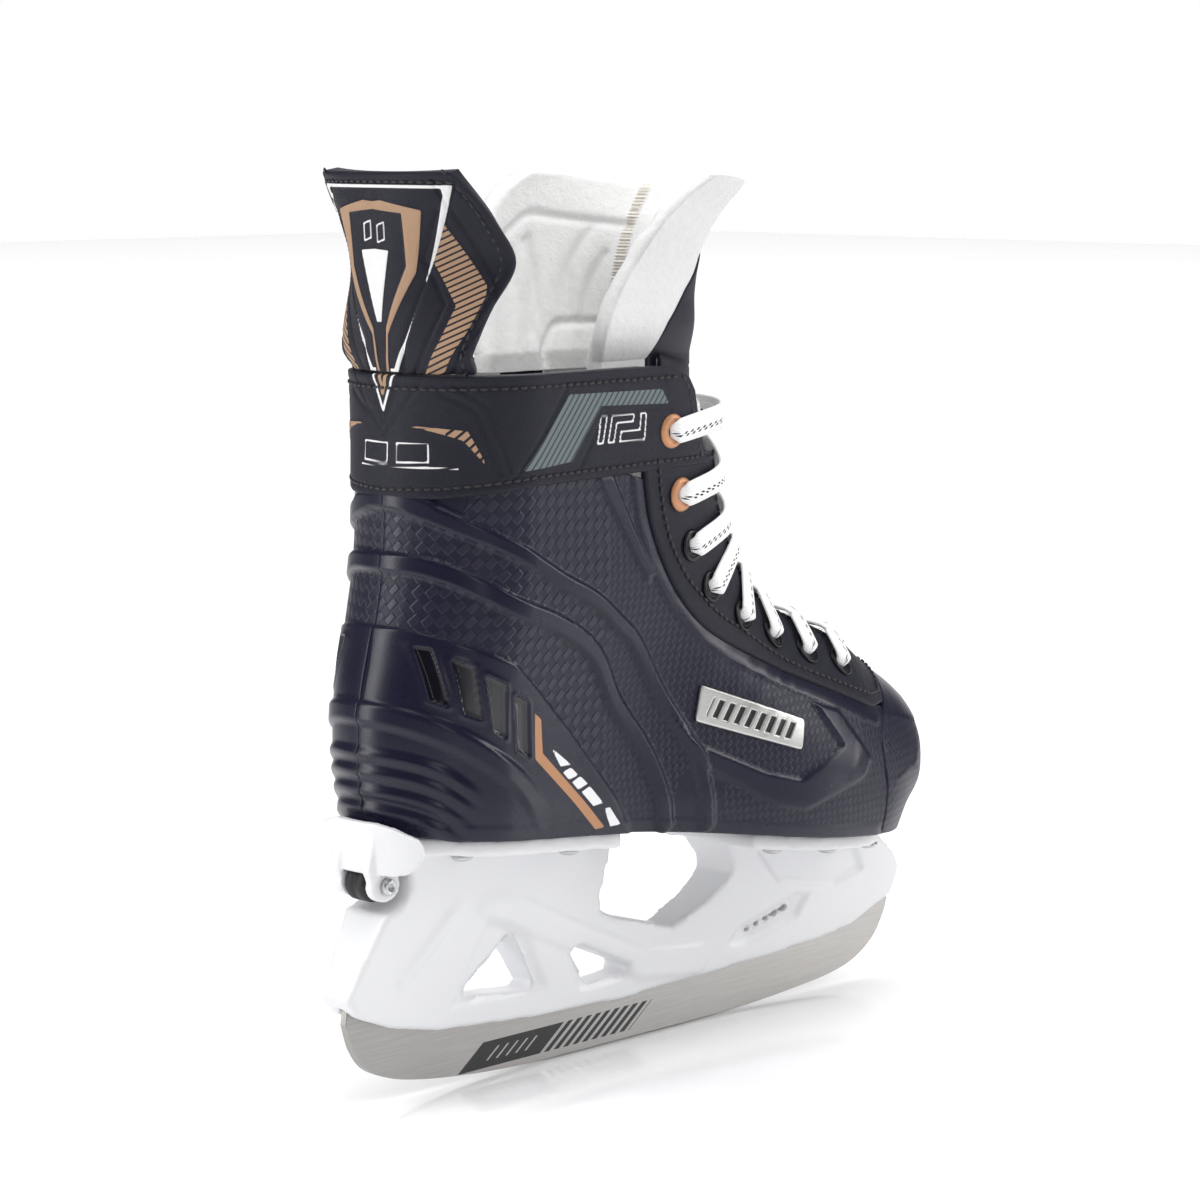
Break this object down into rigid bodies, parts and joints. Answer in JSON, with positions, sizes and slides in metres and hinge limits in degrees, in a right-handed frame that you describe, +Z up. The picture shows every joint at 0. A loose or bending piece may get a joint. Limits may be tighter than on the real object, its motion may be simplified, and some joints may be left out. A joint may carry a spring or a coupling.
{
  "type": "hockey ice skate",
  "caption": "Laced hockey ice skate: moulded black boot with a felt tongue, tendon guard and toe cap, on a white blade holder with a steel runner.",
  "frame": {"origin": "on the ice, at the middle line of the runner's lowest edge, where the blade touches", "axes": "+X to the toe, +Y to the inner side of the foot, +Z up"},
  "size_m": [0.2826, 0.0938, 0.306],
  "materials": {
    "runner_steel": "brushed along the blade, satin",
    "holder_plastic": "white moulded plastic, soft gloss",
    "black_plastic": "black moulded plastic, satin",
    "zinc": "zinc plated steel",
    "footbed_foam": "grey cloth on foam",
    "boot_shell": "black moulded shell with a woven pattern, semi-gloss",
    "toe_cap_plastic": "black moulded toe cap, gloss top and woven lower part",
    "black_leather": "black synthetic leather, stitched, fine grain",
    "white_felt": "thick white felt",
    "badge_silver": "satin silver with a dark relief pattern",
    "eyelet_copper": "copper lacquer, satin",
    "eyelet_black": "black lacquer, gloss",
    "lace_white": "flat woven white lace with a black tracer"
  },
  "bodies": {
    "skate": {"runner": "runner_steel", "blade_holder": "holder_plastic", "heel_bracket": "holder_plastic", "roller_screw": "zinc", "roller_nut": "zinc", "rivet_right_1": "zinc", "rivet_right_2": "zinc", "rivet_right_3": "zinc", "rivet_right_4": "zinc", "rivet_right_5": "zinc", "rivet_left_1": "zinc", "rivet_left_2": "zinc", "rivet_left_3": "zinc", "rivet_left_4": "zinc", "rivet_left_5": "zinc", "outsole": "black_plastic", "footbed": "footbed_foam", "shell_right": "boot_shell", "shell_left": "boot_shell", "toe_cap": "toe_cap_plastic", "eyestay_right": "black_leather", "eyestay_left": "black_leather", "cuff": "black_leather", "liner": "white_felt", "tongue_lower": "white_felt", "tongue_cover_lower": "black_leather", "badge_right": "badge_silver", "badge_left": "badge_silver", "eyelet_right_1": "eyelet_copper", "eyelet_right_2": "eyelet_copper", "eyelet_right_3": "eyelet_black", "eyelet_right_4": "eyelet_black", "eyelet_right_5": "eyelet_black", "eyelet_right_6": "eyelet_black", "eyelet_right_7": "eyelet_black", "eyelet_right_8": "eyelet_black", "eyelet_left_1": "eyelet_copper", "eyelet_left_2": "eyelet_copper", "eyelet_left_3": "eyelet_black", "eyelet_left_4": "eyelet_black", "eyelet_left_5": "eyelet_black", "eyelet_left_6": "eyelet_black", "eyelet_left_7": "eyelet_black", "eyelet_left_8": "eyelet_black", "lace": "lace_white"},
    "roller": {"roller": "black_plastic"},
    "tendon_guard": {"tendon_guard": "black_leather"},
    "tongue_top": {"tongue_upper": "white_felt", "tongue_cover_upper": "black_leather"}
  },
  "joints": [
    {"name": "roller_spin", "type": "hinge", "parent": "skate", "child": "roller", "pos_m": [-0.11, 0, 0.075], "axis": [0, 1, 0], "continuous": true},
    {"name": "tendon_guard_flex", "type": "hinge", "parent": "skate", "child": "tendon_guard", "pos_m": [-0.1035, 0, 0.2412], "axis": [0, -1, 0], "range_deg": [0, 14]},
    {"name": "tongue_flex", "type": "hinge", "parent": "skate", "child": "tongue_top", "pos_m": [0.0365, 0, 0.2432], "axis": [0, 1, 0], "range_deg": [0, 26]}
  ]
}
